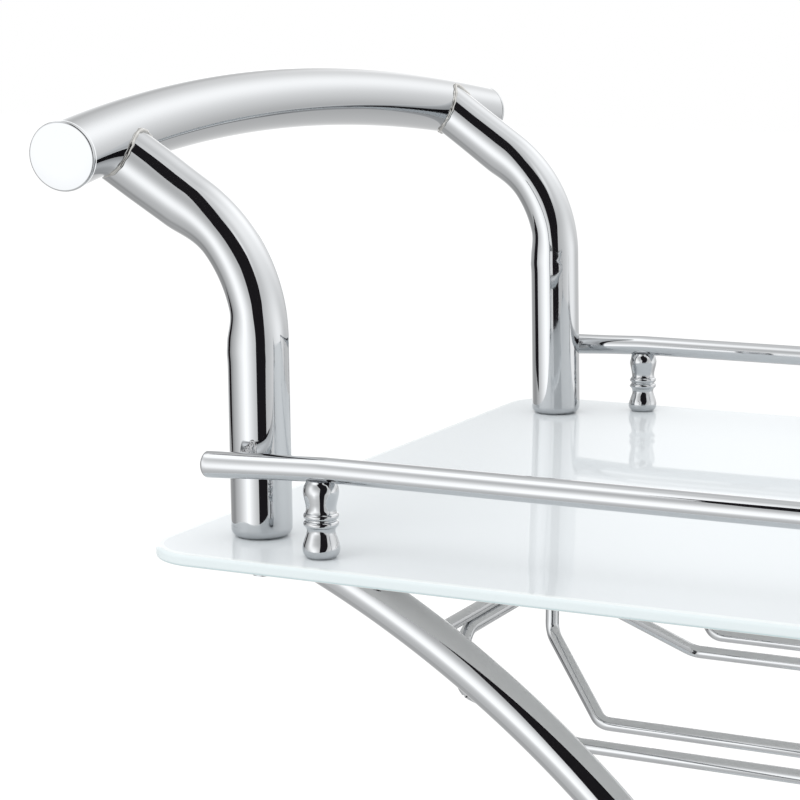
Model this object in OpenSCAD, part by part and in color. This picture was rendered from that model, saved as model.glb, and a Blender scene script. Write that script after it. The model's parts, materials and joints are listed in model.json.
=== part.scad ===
// Two-shelf bar cart: chromed bent-tube frame with a bowed push handle,
// painted glass shelves, gallery rails on turned balusters, a wire
// stemware rack and four swivel casters.
// Millimetres. The floor is z = 0, x runs along the cart with the handle
// at the low end, y runs across it.

/* [Glass] */
// Height of the top shelf's upper face above the floor
top_h = 700; // [640:1:760]
// Width of the top shelf
top_wid = 408; // [398:1:440]
// Thickness of both glass panes
glass_t = 5; // [4:0.5:8]
// Corner radius of the top shelf
top_corner_r = 25; // [15:1:30]
// Rounding of the panes' polished edges
glass_edge_r = 1.5; // [0.5:0.1:1.8]
// Corner radius of the lower shelf
shelf_corner_r = 18; // [8:1:30]
// How far the lower shelf's ends lie inside the post axes
shelf_inset = 15; // [5:1:30]
// Gap between the lower shelf and the legs on each side
shelf_side_gap = 4; // [2:0.5:10]

/* [Posts and handle] */
// Outer diameter of the handle posts
post_d = 25; // [22:0.5:26]
// Distance of the post axes from the end of the glass
post_inset = 34.4; // [32:0.2:44]
// Distance of the post and frame planes from the glass's long edges
frame_in = 44; // [40:1:54]
// Height of the posts' bend corner above the glass
post_corner_h = 111.6; // [100:0.4:130]
// Centre-line radius of the post bend
post_bend_r = 62; // [50:1:75]
// Lean of the upper post arm from upright, degrees
post_lean = 54.8; // [45:0.2:60]
// Length of the arm from bend corner to handle axis
arm_len = 83.3; // [78:0.1:95]
// Outer diameter of the handle tube
grip_d = 28; // [26:0.5:32]
// Wall of the handle tube
grip_wall = 1.5; // [1:0.1:2.5]
// How far the handle runs out past the posts at each end
grip_over = 44.9; // [36:0.1:60]
// Radius that the handle tube is bowed to
grip_bow_r = 1060; // [900:10:1400]
// Upward tilt of the bow's plane, degrees
grip_tilt = 47.4; // [30:0.2:60]
// Thickness of the handle's end caps
grip_cap_t = 2.4; // [2:0.1:4]
// Height of the rounded plug at the foot of each post
foot_plug_h = 5; // [4.5:0.1:8]
// Edge rounding of that plug
foot_plug_r = 4; // [3:0.1:4.4]

/* [Gallery rails] */
// Diameter of the gallery rails
rail_d = 10; // [8:0.5:11]
// Distance of the rails from the glass's long edges
rail_in = 20; // [16:0.5:23.5]
// Height of the rail axis above the glass
rail_axis_h = 34.8; // [32:0.2:44]
// How far the rails run out past the post axes
rail_over = 12; // [8:0.5:24]
// Downward set of the rail ends, degrees
rail_end_deg = 2.6; // [0.5:0.1:5]
// Distance of the end balusters from the post axes
baluster_in = 39.6; // [34:0.2:50]
// Width of the upright spacers between post and rail
spacer_w = 5.6; // [4:0.2:8]
// How far the spacers stand up over the rails' axes
spacer_up = 9.6; // [7:0.2:12]
// How far the spacers are let into the rails
spacer_bite = 0.8; // [0.4:0.1:1.5]
// Largest radius of the balusters' lower bulbs
bulb_r = 7.4; // [6.8:0.1:7.8]
// Largest radius of their upper bulbs
bulb_top_r = 7; // [6.6:0.1:7.8]
// Radius of the baluster necks
neck_r = 5.6; // [5:0.1:6]
// Rounding radius of the bulbs
bulb_round_r = 4.2; // [4:0.1:4.6]
// Height of a bulb's widest point from the baluster's end
bulb_in = 3.2; // [2.8:0.1:3.6]
// Hollow radius of the necks
neck_round_r = 6.5; // [5.5:0.1:7]
// Radius to the crown of the two middle rings
ring_r = 6.95; // [6.6:0.05:7.4]
// Half thickness of each ring
ring_half = 1.35; // [1.1:0.05:1.5]
// Spacing of the two rings
ring_gap = 3.3; // [3:0.1:3.6]
// How far the rail is let into the balusters' tops
saddle = 0.8; // [0.4:0.1:1.2]
// Centre-line radius of the rails' end bends
rail_bend_r = 120; // [60:10:300]

/* [Legs] */
// Outer diameter of the leg tubes
leg_d = 17.5; // [16:0.5:19]
// Centre-line radius of the long leg bends
leg_bend_r = 455; // [440:5:520]
// Slope of the leg axis where it reaches the glass, degrees
leg_start_deg = 23.65; // [20:0.05:27]
// Distance of that point from the post axis
leg_in = 20.45; // [19:0.05:26]
// Centre-line radius of the tighter bend at the waist
waist_bend_r = 150; // [100:5:250]
// Outer diameter of the cross tube at the waist
waist_d = 19; // [17:0.5:24]
// How far the cross tube is let into each leg
waist_bite = 2; // [1:0.1:3]
// How far the cross tube runs out past the legs' axes
waist_over = 13; // [11:0.5:20]
// Thickness of the mounting plates on the leg ends
plate_t = 4; // [3:0.5:5]
// Width of the mounting plates
plate_w = 24; // [20:1:28]
// Thickness of the rubber rings between glass and plates
ring_pad_t = 1; // [0.8:0.1:2]

/* [Stemware rack and bars] */
// Diameter of the rack wire and its bars
wire_d = 6; // [5:0.2:7]
// Distance of the bars from the post axes
bar_in = 75; // [65:1:85]
// Distance of the wire loops' sides from the frame planes
loop_in = 32.7; // [26:0.1:40]
// Half width of a loop's entry gate, axis to axis
gate_half = 48.8; // [40:0.2:52]
// Half width of a glass slot, axis to axis
slot_half = 16.2; // [13:0.2:20]
// Depth of the slot wires' axes below the glass top
slot_depth = 92; // [86:1:100]
// Depth of the foot of the gate's uprights below the glass top
gate_depth = 64; // [60:1:70]
// Length of the inward flare from gate to slot
flare_len = 36; // [30:1:50]
// Centre-line radius of the wire bends
wire_bend_r = 8; // [7:0.5:11]
// Diameter of the bars under the lower shelf
shelf_bar_d = 10; // [8:0.5:12]
// Rubber between those bars and the lower shelf
shelf_pad_t = 2; // [1:0.5:4]
// Length of the rubber sleeves on those bars
shelf_pad_len = 20; // [12:1:30]

/* [Casters] */
// Height of a caster from the floor to its mounting plate
caster_h = 60; // [58:1:72]
// Wheel diameter
wheel_d = 50; // [44:1:52]
// Width of the tyre
tyre_w = 17; // [14:1:20]
// Radial thickness of the tyre
tyre_t = 6; // [4:0.5:8]
// Edge rounding of the tyre
tyre_edge_r = 3; // [2:0.5:4]
// Distance of the wheel axis behind the swivel axis
trail = 18; // [14:1:22]
// Axle diameter
axle_d = 8; // [6:0.5:9]
// Diameter of the swivel pin
kingpin_d = 10; // [8:0.5:12]
// Thickness of the fork's pressed sheet
fork_t = 2.5; // [2:0.1:3]
// Diameter of the swivel race
race_d = 34; // [32:1:38]
// Thickness of the swivel race
race_t = 3; // [2.5:0.1:4]

/* [Fasteners and clearances] */
// Diameter of the studs and cap bolts through the glass
stud_d = 8; // [6:0.5:8]
// Width across the flats of the nuts
nut_flat = 12; // [11.5:0.1:12.4]
// Height of the nuts
nut_h = 5; // [4:0.5:6]
// Thread length that shows past each nut
stud_proud = 1.5; // [0.5:0.1:2]
// Diameter of the baluster screws
screw_d = 4; // [3:0.1:5]
// Head diameter of the baluster screws
screw_head_d = 8; // [7:0.1:10]
// Head height of the baluster screws
screw_head_h = 2.6; // [2:0.1:3]
// Radial clearance of holes round screws and studs
hole_clear = 0.4; // [0.2:0.1:1]
// Radial running clearance of axles and swivel pins
run_clear = 0.05; // [0.03:0.01:0.08]
// Side clearance between moving faces
side_clear = 0.3; // [0.25:0.05:0.6]
// Radial clearance of plugs in their tubes
plug_clear = 0.1; // [0.05:0.05:0.2]

/* [Hidden] */
// Small sizes that rarely change; a bend stands a hair proud of its bar
swell = 0.05;
seam_turn = 30;
cap_plug_len = 8;
cap_seam = 0.4;
cap_edge_r = 0.8;
stud_in_post = 9;
rail_nose = 1.6;
screw_in = 10;
plate_nose = 5;
plate_run = 38;
leg_run_on = 8;
waist_cap_h = 3.5;
shelf_pad_in = 32;
shelf_pad_over = 1;
cap_bolt_h = 5;
groove_r = 6.1;
king_head_h = 2.2;
king_head_over = 3;
fork_lip = 7;
fork_bend_r = 4;
fork_back_in = 1;
fork_front_in = 5;
fork_back_out = 2;
tyre_gap = 2.6;
rim_in = 1;
axle_boss_r = 8.5;
axle_head_over = 2.5;
axle_head_h = 2.2;
boss_wall = 3.5;
web_t = 5;
rim_t = 2.5;
web_hole_r = 2.2;

// Distances from the middle plane that follow the top's width
frame_y = top_wid / 2 - frame_in;
rail_y = top_wid / 2 - rail_in;
grip_half = frame_y + grip_over;
loop_y = frame_y - loop_in - gate_half;

post_r = post_d / 2;
grip_r = grip_d / 2;
rail_r = rail_d / 2;
leg_r = leg_d / 2;
wire_r = wire_d / 2;
sbar_r = shelf_bar_d / 2;
waist_r = waist_d / 2;
axle_r = axle_d / 2;
king_r = kingpin_d / 2;
wheel_r = wheel_d / 2;
stud_r = stud_d / 2;

// Heights of the glass underside and of the plates' seats
glass_bot = top_h - glass_t;
foot_ref = caster_h;
leg_half_h = (glass_bot - foot_ref) / 2;
mid_h = foot_ref + leg_half_h;

// Each leg: a long bend from the glass, a tighter one at the waist,
// and the same again mirrored below
leg_cx = leg_in - leg_bend_r * sin(leg_start_deg);
leg_cz = glass_bot - leg_bend_r * cos(leg_start_deg);
bend_split = acos((leg_bend_r * cos(leg_start_deg) - leg_half_h)
    / (leg_bend_r - waist_bend_r));
waist_cx = leg_cx + (leg_bend_r - waist_bend_r) * sin(bend_split);
waist_axis_x = waist_cx + waist_bend_r;
mid_x = waist_axis_x + leg_r + waist_r - waist_bite;
far_x = 2 * mid_x;

// Extents along x from the post axis; the model is centred on them
top_len = far_x + 2 * post_inset;
grip_ax = -arm_len * sin(post_lean);
grip_az = top_h + post_corner_h + arm_len * cos(post_lean);
grip_rise = grip_bow_r - sqrt(pow(grip_bow_r, 2) - pow(frame_y, 2));
grip_mx = grip_ax - grip_rise * cos(grip_tilt);
grip_mz = grip_az + grip_rise * sin(grip_tilt);
shift_x = -(grip_mx - grip_r + far_x + post_inset) / 2;
grip_span = asin((grip_half - grip_cap_t) / grip_bow_r);

// Stacks at the leg ends
plate_top_z = glass_bot - ring_pad_t;
plate_bot_z = plate_top_z - plate_t;
low_plate_z = foot_ref;
plate_reach = leg_in + plate_run;

// Bars: their axes meet the legs' axes
bar_z = leg_cz + sqrt(pow(leg_bend_r, 2) - pow(bar_in - leg_cx, 2));
low_bar_z = 2 * mid_h - bar_z;
loop_top_z = bar_z - wire_d - plug_clear;
shelf_bot = low_bar_z + sbar_r + shelf_pad_t;
shelf_len = far_x - 2 * shelf_inset;
shelf_wid = 2 * (frame_y - leg_r - shelf_side_gap);

// Rails
rail_z = top_h + rail_axis_h;
rail_tip_z = rail_z - (baluster_in + rail_over) * tan(rail_end_deg);
spacer_z = rail_z - baluster_in * tan(rail_end_deg);
baluster_xs = [baluster_in, mid_x, far_x - baluster_in];
baluster_h = rail_axis_h - rail_r + saddle;

// Turned profile: the neck's centre and the distance of the arcs' centres
neck_cx = neck_r + neck_round_r;
arc_sum = bulb_round_r + neck_round_r;

// Casters
fork_top = caster_h - race_t - side_clear;
fork_in = tyre_w / 2 + tyre_gap;
hub_half = fork_in - side_clear;
caster_xs = [0, far_x];

// Lengths greater than the pieces they cut or cross
cut_len = far_x;
wide = 2 * wheel_d;

$fn = 48;

function unit(v) = v / norm(v);

// Turns z to direction d at point p
module aim(p, d) {
  translate(p)
    rotate([0, acos(d[2] / norm(d)), atan2(d[1], d[0])])
      children();
}

// A straight round bar from a to b, its seam clear of the bends' seams
module rod(a, b, r) {
  aim(a, b - a)
    rotate([0, 0, seam_turn])
      cylinder(r = r, h = norm(b - a), $fn = 48);
}

// Steps round a bend of this radius, for an even fineness
function bend_fn(bend) = 4 * ceil(5.6 * sqrt(bend));

// A round bar bent about z, from the x axis on through an angle
module bent_bar(bend, turn, r) {
  rotate_extrude(angle = turn, $fn = bend_fn(bend))
    translate([bend, 0])
      circle(r = r, $fn = 48);
}

// A round bend at corner p between directions u and v
module elbow(p, u, v, bend, r) {
  turn = acos(max(-1, min(1, u * v)));
  c = p + unit(v - u) * bend / cos(turn / 2);
  ex = unit(p - u * bend * tan(turn / 2) - c);
  ez = unit(cross(u, v));
  ey = cross(ez, ex);
  multmatrix([
    [ex[0], ey[0], ez[0], c[0]],
    [ex[1], ey[1], ez[1], c[1]],
    [ex[2], ey[2], ez[2], c[2]],
    [0, 0, 0, 1]])
    bent_bar(bend, turn, r);
}

// Tangent length of the bend at corner b
function trim(a, b, c, bend) =
  bend * tan(acos(max(-1, min(1, unit(b - a) * unit(c - b)))) / 2);

// How far a straight length runs on into a bend, inside its skin
function lap(bend) = sqrt(bend) / 8;

// A bent bar along points, open or closed into a ring
module wire(pts, bend, r, closed = false) {
  n = len(pts);
  last = closed ? n - 1 : n - 2;
  for (i = [0:last]) {
    a = pts[i];
    b = pts[(i + 1) % n];
    ta = closed || i > 0 ? trim(pts[(i + n - 1) % n], a, b, bend) : 0;
    tb = closed || i < n - 2 ? trim(a, b, pts[(i + 2) % n], bend) : 0;
    d = unit(b - a);
    rod(a + d * (ta > 0 ? ta - lap(bend) : 0),
      b - d * (tb > 0 ? tb - lap(bend) : 0), r);
  }
  for (i = [0:n - 1])
    if (closed || (i > 0 && i < n - 1))
      elbow(pts[i], unit(pts[i] - pts[(i + n - 1) % n]),
        unit(pts[(i + 1) % n] - pts[i]), bend, r + swell);
}

// A bend in the plane of a side frame, angles from the x axis
module side_bend(cx, cz, bend, from, to, r) {
  translate([cx, 0, cz])
    rotate([90, 0, 0])
      rotate([0, 0, from])
        bent_bar(bend, to - from, r);
}

module at_frame() {
  translate([shift_x, 0, 0])
    children();
}

// Copies the left-hand child to the right-hand end
module other_end() {
  translate([far_x, 0, 0])
    mirror([1, 0, 0])
      children();
}

// The section of a pane's rim, from the corner's centre outwards
module rim_section(corner) {
  e = glass_edge_r;
  square([corner - e, glass_t]);
  translate([0, e])
    square([corner, glass_t - 2 * e]);
  for (z = [e, glass_t - e])
    translate([corner - e, z])
      circle(r = e);
}

// A pane with rounded corners and polished edges, lower face at z = 0
module pane(length, width, corner) {
  hx = length / 2 - corner;
  hy = width / 2 - corner;
  translate([-hx, -hy, 0])
    cube([2 * hx, 2 * hy, glass_t]);
  for (k = [0:3])
    translate([(k == 0 || k == 3 ? 1 : -1) * hx, (k < 2 ? 1 : -1) * hy, 0])
      rotate([0, 0, 90 * k]) {
        rotate_extrude(angle = 90)
          rim_section(corner);
        rotate([90, 0, 0])
          linear_extrude(height = 2 * (k % 2 == 0 ? hy : hx))
            rim_section(corner);
      }
}

// A round disc on z = 0 whose upper edge is rounded
module button(r, h, e) {
  rotate_extrude()
    union() {
      square([r, h - e]);
      square([r - e, h]);
      intersection() {
        translate([r - e, h - e])
          circle(r = e);
        square([r, h]);
      }
    }
}

// Places on the four corners where posts, bolts and casters sit
module at_corners(z) {
  for (x = [0, far_x], sy = [-1, 1])
    translate([x, sy * frame_y, z])
      children();
}

module hex_nut(h, bore) {
  difference() {
    rotate([0, 0, 30])
      cylinder(r = nut_flat / 2 / cos(30), h = h, $fn = 6);
    translate([0, 0, -1])
      cylinder(r = bore, h = h + 2);
  }
}

// glass

module top_glass() {
  color("#e6eef0")
    at_frame()
      difference() {
        translate([mid_x, 0, glass_bot])
          pane(top_len, top_wid, top_corner_r);
        at_corners(glass_bot - 1)
          cylinder(r = stud_r + hole_clear, h = glass_t + 2);
        for (x = baluster_xs, sy = [-1, 1])
          translate([x, sy * rail_y, glass_bot - 1])
            cylinder(r = screw_d / 2 + hole_clear, h = glass_t + 2);
      }
}

module lower_glass() {
  color("#e6eef0")
    at_frame()
      translate([mid_x, 0, shelf_bot])
        pane(shelf_len, shelf_wid, shelf_corner_r);
}

// handle and posts

// A stretch of the bowed handle, angles from its middle
module grip_arc(r, from, to) {
  translate([grip_mx, 0, grip_mz])
    rotate([0, 180 + grip_tilt, 0])
      translate([-grip_bow_r, 0, 0])
        rotate([0, 0, from])
          bent_bar(grip_bow_r, to - from, r);
}

module grip() {
  color("#c9cdd0")
    at_frame()
      difference() {
        grip_arc(grip_r, -grip_span, grip_span);
        grip_arc(grip_r - grip_wall, -grip_span - 1, grip_span + 1);
      }
}

// End caps: a plug in the tube, a seam and a disc with a rounded edge
module grip_caps() {
  color("#dfe2e4")
    at_frame()
      for (s = [-1, 1])
        translate([grip_mx, 0, grip_mz])
          rotate([0, 180 + grip_tilt, 0])
            translate([-grip_bow_r, 0, 0])
              rotate([0, 0, s * grip_span])
                translate([grip_bow_r, 0, 0])
                  rotate([-90 * s, 0, 0])
                    grip_cap();
}

module grip_cap() {
  translate([0, 0, -cap_plug_len])
    cylinder(r = grip_r - grip_wall - plug_clear, h = cap_plug_len + cap_seam);
  cylinder(r = grip_r - cap_seam, h = cap_seam + 0.2);
  translate([0, 0, cap_seam])
    button(grip_r, grip_cap_t - cap_seam, cap_edge_r);
}

module post_path(sy, r) {
  wire([[0, sy * frame_y, top_h + foot_plug_h],
    [0, sy * frame_y, top_h + post_corner_h],
    [grip_ax, sy * frame_y, grip_az]], post_bend_r, r);
}

module post(sy) {
  color("#c2c6ca")
    at_frame()
      difference() {
        post_path(sy, post_r);
        grip_arc(grip_r, -grip_span, grip_span);
        translate([0, sy * frame_y, top_h])
          cylinder(r = stud_r + plug_clear, h = foot_plug_h + stud_in_post);
      }
}

module post_near() {
  post(-1);
}

module post_far() {
  post(1);
}

module foot_plugs() {
  color("#b4babd")
    at_frame()
      for (sy = [-1, 1])
        translate([0, sy * frame_y, top_h])
          difference() {
            translate([0, 0, foot_plug_h])
              mirror([0, 0, 1])
                button(post_r, foot_plug_h, foot_plug_r);
            translate([0, 0, -1])
              cylinder(r = stud_r + plug_clear, h = foot_plug_h + 2);
          }
}

// gallery rails

module rail_path(sy, r) {
  wire([[-rail_over, sy * rail_y, rail_tip_z],
    [baluster_in, sy * rail_y, rail_z],
    [far_x - baluster_in, sy * rail_y, rail_z],
    [far_x + rail_over, sy * rail_y, rail_tip_z]], rail_bend_r, r);
}

module rail(sy) {
  color("#d0d4d6")
    at_frame() {
      rail_path(sy, rail_r);
      for (end = [0, 1])
        aim([end == 0 ? -rail_over : far_x + rail_over, sy * rail_y, rail_tip_z],
          [end == 0 ? -cos(rail_end_deg) : cos(rail_end_deg), 0,
            -sin(rail_end_deg)])
          translate([0, 0, -0.5])
            button(rail_r - swell, rail_nose + 0.5, rail_nose);
    }
}

module rail_near() {
  rail(-1);
}

module rail_far() {
  rail(1);
}

// Upright spacers that hold the rails off the posts, round at the top
module rail_spacers() {
  out = rail_y - frame_y - rail_r + spacer_bite;
  color("#aeb2b5")
    at_frame()
      for (sy = [-1, 1])
        difference() {
          translate([0, sy * frame_y, spacer_z])
            rotate([90, 0, sy < 0 ? 0 : 180])
              linear_extrude(height = out)
                spacer_side();
          translate([0, sy * frame_y, top_h])
            cylinder(r = post_r, h = post_corner_h);
          rail_path(sy, rail_r);
        }
}

module spacer_side() {
  r = spacer_w / 2;
  translate([-r, -r])
    square([spacer_w, spacer_up]);
  translate([0, spacer_up - r])
    circle(r = r);
}

// Half of the turned section: bulb of this largest radius, neck, ring
module turned_half(h, bulb) {
  bulb_cx = bulb - bulb_round_r;
  neck_up = sqrt(pow(arc_sum, 2) - pow(neck_cx - bulb_cx, 2));
  arc_meet_x = bulb_cx + bulb_round_r * (neck_cx - bulb_cx) / arc_sum;
  foot_r = bulb_cx + sqrt(pow(bulb_round_r, 2) - pow(bulb_in, 2));
  difference() {
    union() {
      square([foot_r, bulb_in]);
      intersection() {
        translate([bulb_cx, bulb_in])
          circle(r = bulb_round_r);
        square([bulb, h]);
      }
      translate([0, bulb_in])
        square([arc_meet_x, h - ring_gap / 2 - bulb_in]);
    }
    translate([neck_cx, bulb_in + neck_up])
      circle(r = neck_round_r);
  }
  translate([0, h - ring_gap / 2 - ring_half])
    square([ring_r - ring_half, ring_gap / 2 + ring_half]);
  translate([ring_r - ring_half, h - ring_gap / 2])
    circle(r = ring_half);
  translate([0, h - ring_gap / 2])
    square([groove_r, ring_gap / 2]);
}

module baluster(x, sy) {
  color("#d6dadc")
    at_frame()
      difference() {
        translate([x, sy * rail_y, top_h])
          rotate_extrude()
            union() {
              turned_half(baluster_h / 2, bulb_r);
              translate([0, baluster_h])
                mirror([0, 1])
                  turned_half(baluster_h / 2, bulb_top_r);
            }
        rail_path(sy, rail_r);
        translate([x, sy * rail_y, top_h - 1])
          cylinder(r = screw_d / 2 + plug_clear, h = screw_in + 1.5);
      }
}

module baluster_near_left() {
  baluster(baluster_xs[0], -1);
}

module baluster_near_mid() {
  baluster(baluster_xs[1], -1);
}

module baluster_near_right() {
  baluster(baluster_xs[2], -1);
}

module baluster_far_left() {
  baluster(baluster_xs[0], 1);
}

module baluster_far_mid() {
  baluster(baluster_xs[1], 1);
}

module baluster_far_right() {
  baluster(baluster_xs[2], 1);
}

// Screws that come up through the glass, and their rubber washers
module baluster_screws() {
  color("#9aa0a4")
    at_frame()
      for (x = baluster_xs, sy = [-1, 1])
        translate([x, sy * rail_y, glass_bot - ring_pad_t]) {
          cylinder(r = screw_d / 2, h = ring_pad_t + glass_t + screw_in);
          mirror([0, 0, 1])
            button(screw_head_d / 2, screw_head_h, screw_head_h * 0.6);
        }
}

module screw_washers() {
  color("#3a3d40")
    at_frame()
      for (x = baluster_xs, sy = [-1, 1])
        translate([x, sy * rail_y, glass_bot - ring_pad_t])
          difference() {
            cylinder(r = screw_head_d / 2 + 1, h = ring_pad_t);
            translate([0, 0, -1])
              cylinder(r = screw_d / 2 + hole_clear, h = ring_pad_t + 2);
          }
}

// leg frame

module leg_long_bend(r) {
  side_bend(leg_cx, leg_cz, leg_bend_r,
    90 - bend_split - lap(leg_bend_r) / leg_bend_r * 180 / PI,
    90 - leg_start_deg + leg_run_on, r);
}

module leg_waist_bend(r) {
  side_bend(waist_cx, mid_h, waist_bend_r, bend_split - 90, 90 - bend_split,
    r + swell);
}

// The whole centre line of a left-hand leg in the plane y = 0
module leg_path(r) {
  leg_long_bend(r);
  leg_waist_bend(r);
  translate([0, 0, 2 * mid_h])
    mirror([0, 0, 1])
      leg_long_bend(r);
}

module leg_left(sy) {
  translate([0, sy * frame_y, 0])
    difference() {
      leg_path(leg_r);
      translate([-cut_len / 2, -leg_d, plate_bot_z])
        cube([cut_len, 2 * leg_d, cut_len]);
      translate([-cut_len / 2, -leg_d, low_plate_z + plate_t - cut_len])
        cube([cut_len, 2 * leg_d, cut_len]);
    }
}

module leg_left_near() {
  color("#b9bec2")
    at_frame()
      leg_left(-1);
}

module leg_left_far() {
  color("#b9bec2")
    at_frame()
      leg_left(1);
}

module leg_right_near() {
  color("#b9bec2")
    at_frame()
      other_end()
        leg_left(-1);
}

module leg_right_far() {
  color("#b9bec2")
    at_frame()
      other_end()
        leg_left(1);
}

// Outline of a mounting plate, round about the stud
module plate_outline() {
  circle(r = plate_w / 2);
  translate([0, -plate_w / 2])
    square([plate_reach - plate_nose, plate_w]);
  translate([0, plate_nose - plate_w / 2])
    square([plate_reach, plate_w - 2 * plate_nose]);
  for (sy = [-1, 1])
    translate([plate_reach - plate_nose, sy * (plate_w / 2 - plate_nose)])
      circle(r = plate_nose);
}

module plate_blank(h) {
  difference() {
    linear_extrude(height = h)
      plate_outline();
    translate([0, 0, -1])
      cylinder(r = stud_r + hole_clear, h = h + 2);
  }
}

module four_plates(z, h) {
  for (sy = [-1, 1])
    translate([0, sy * frame_y, z]) {
      plate_blank(h);
      other_end()
        plate_blank(h);
    }
}

module upper_plates() {
  color("#a8adb1")
    at_frame()
      four_plates(plate_bot_z, plate_t);
}

module lower_plates() {
  color("#a8adb1")
    at_frame()
      four_plates(low_plate_z, plate_t);
}

module glass_pads() {
  color("#33363a")
    at_frame()
      four_plates(plate_top_z, ring_pad_t);
}

// Cross tube at the waist, notched round the four legs
module waist_tube() {
  color("#b1b6ba")
    at_frame()
      difference() {
        rod([mid_x, -frame_y - waist_over, mid_h],
          [mid_x, frame_y + waist_over, mid_h], waist_r);
        for (sy = [-1, 1])
          translate([0, sy * frame_y, 0]) {
            leg_waist_bend(leg_r);
            other_end()
              leg_waist_bend(leg_r);
          }
      }
}

module waist_caps() {
  color("#d6dadc")
    at_frame()
      for (sy = [-1, 1])
        translate([mid_x, sy * (frame_y + waist_over), mid_h])
          rotate([-90 * sy, 0, 0])
            button(waist_r, waist_cap_h, waist_cap_h * 0.7);
}

// bars, rack and lower shelf seats

// A bar between the side frames, its ends coped to the legs
module cross_bar(z, r) {
  difference() {
    rod([bar_in, -frame_y, z], [bar_in, frame_y, z], r);
    for (sy = [-1, 1])
      translate([0, sy * frame_y, 0])
        leg_path(leg_r);
  }
}

module rack_bar_left() {
  color("#bfc4c7")
    at_frame()
      cross_bar(bar_z, wire_r);
}

module rack_bar_right() {
  color("#bfc4c7")
    at_frame()
      other_end()
        cross_bar(bar_z, wire_r);
}

module shelf_bar_left() {
  color("#bfc4c7")
    at_frame()
      cross_bar(low_bar_z, sbar_r);
}

module shelf_bar_right() {
  color("#bfc4c7")
    at_frame()
      other_end()
        cross_bar(low_bar_z, sbar_r);
}

// One closed wire: a gate at each end, flares, and a pair of slot wires
function half_loop(x, dir, s) = [
  [x, s * gate_half, loop_top_z],
  [x, s * gate_half, top_h - gate_depth],
  [x + dir * flare_len, s * slot_half, top_h - slot_depth]];

function flip(v) = [for (i = [len(v) - 1:-1:0]) v[i]];

module rack_loop(y) {
  color("#cfd3d6")
    at_frame()
      translate([0, y, 0])
        wire(concat(
          half_loop(bar_in, 1, 1),
          flip(half_loop(far_x - bar_in, -1, 1)),
          half_loop(far_x - bar_in, -1, -1),
          flip(half_loop(bar_in, 1, -1))), wire_bend_r, wire_r, true);
}

module rack_loop_near() {
  rack_loop(-loop_y);
}

module rack_loop_far() {
  rack_loop(loop_y);
}

// Rubber sleeves on the lower bars, flat where the pane rests
module shelf_pads() {
  pad_r = sbar_r + shelf_pad_t + shelf_pad_over;
  color("#33363a")
    at_frame()
      for (x = [bar_in, far_x - bar_in], sy = [-1, 1])
        translate([x, sy * (shelf_wid / 2 - shelf_pad_in), low_bar_z])
          difference() {
            rotate([90, 0, 0])
              cylinder(r = pad_r, h = shelf_pad_len, center = true);
            rotate([90, 0, 0])
              cylinder(r = sbar_r, h = shelf_pad_len + 2, center = true);
            translate([-pad_r, -shelf_pad_len, sbar_r + shelf_pad_t])
              cube([2 * pad_r, 2 * shelf_pad_len, pad_r]);
          }
}

// studs, cap bolts and nuts

module post_studs() {
  color("#9aa0a4")
    at_frame()
      for (sy = [-1, 1])
        rod([0, sy * frame_y, plate_bot_z - nut_h - stud_proud],
          [0, sy * frame_y, top_h + foot_plug_h + stud_in_post - 0.5], stud_r);
}

module cap_bolts() {
  color("#d6dadc")
    at_frame()
      for (sy = [-1, 1])
        translate([far_x, sy * frame_y, 0]) {
          rod([0, 0, plate_bot_z - nut_h - stud_proud], [0, 0, top_h], stud_r);
          translate([0, 0, top_h])
            button(post_r, cap_bolt_h, cap_bolt_h * 0.8);
        }
}

module upper_nuts() {
  color("#9aa0a4")
    at_frame()
      at_corners(plate_bot_z - nut_h)
        hex_nut(nut_h, stud_r + plug_clear);
}

module lower_nuts() {
  color("#9aa0a4")
    at_frame()
      at_corners(low_plate_z + plate_t)
        hex_nut(nut_h, stud_r + plug_clear);
}

// casters, at rest with the wheels towards the handle

module at_caster(i, sy) {
  at_frame()
    translate([caster_xs[i], sy * frame_y, 0])
      children();
}

// Race, kingpin and stud: one riveted piece under each lower plate
module caster_stems() {
  color("#a8adb1")
    for (i = [0, 1], sy = [-1, 1])
      at_caster(i, sy) {
        translate([0, 0, caster_h - race_t])
          button(race_d / 2, race_t, 1);
        cylinder_between(stud_r, caster_h - 1,
          caster_h + plate_t + nut_h + stud_proud);
        cylinder_between(king_r, fork_top - fork_t - side_clear - king_head_h / 2,
          caster_h - race_t / 2);
        translate([0, 0, fork_top - fork_t - side_clear])
          mirror([0, 0, 1])
            button(king_r + king_head_over, king_head_h, king_head_h * 0.6);
      }
}

module cylinder_between(r, low, high) {
  translate([0, 0, low])
    cylinder(r = r, h = high - low);
}

// Side outline of the fork, wheel axle behind the kingpin
module fork_side() {
  back = -race_d / 2;
  front = race_d / 2 - fork_front_in;
  polygon([[back + fork_back_in, fork_top], [front, fork_top],
    [front, fork_top - fork_lip], [axle_boss_r - trail, wheel_r],
    [-axle_boss_r - trail, wheel_r], [back - fork_back_out, fork_top - fork_lip]]);
  translate([-trail, wheel_r])
    circle(r = axle_boss_r);
}

// End outline of the fork: a channel with rounded shoulders
module fork_end() {
  out_y = fork_in + fork_t;
  difference() {
    union() {
      translate([-out_y, 0])
        square([2 * out_y, fork_top - fork_bend_r]);
      translate([fork_bend_r - out_y, 0])
        square([2 * (out_y - fork_bend_r), fork_top]);
      for (s = [-1, 1])
        translate([s * (out_y - fork_bend_r), fork_top - fork_bend_r])
          circle(r = fork_bend_r);
    }
    translate([-fork_in, -1])
      square([2 * fork_in, fork_top - fork_t + 1]);
  }
}

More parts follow.
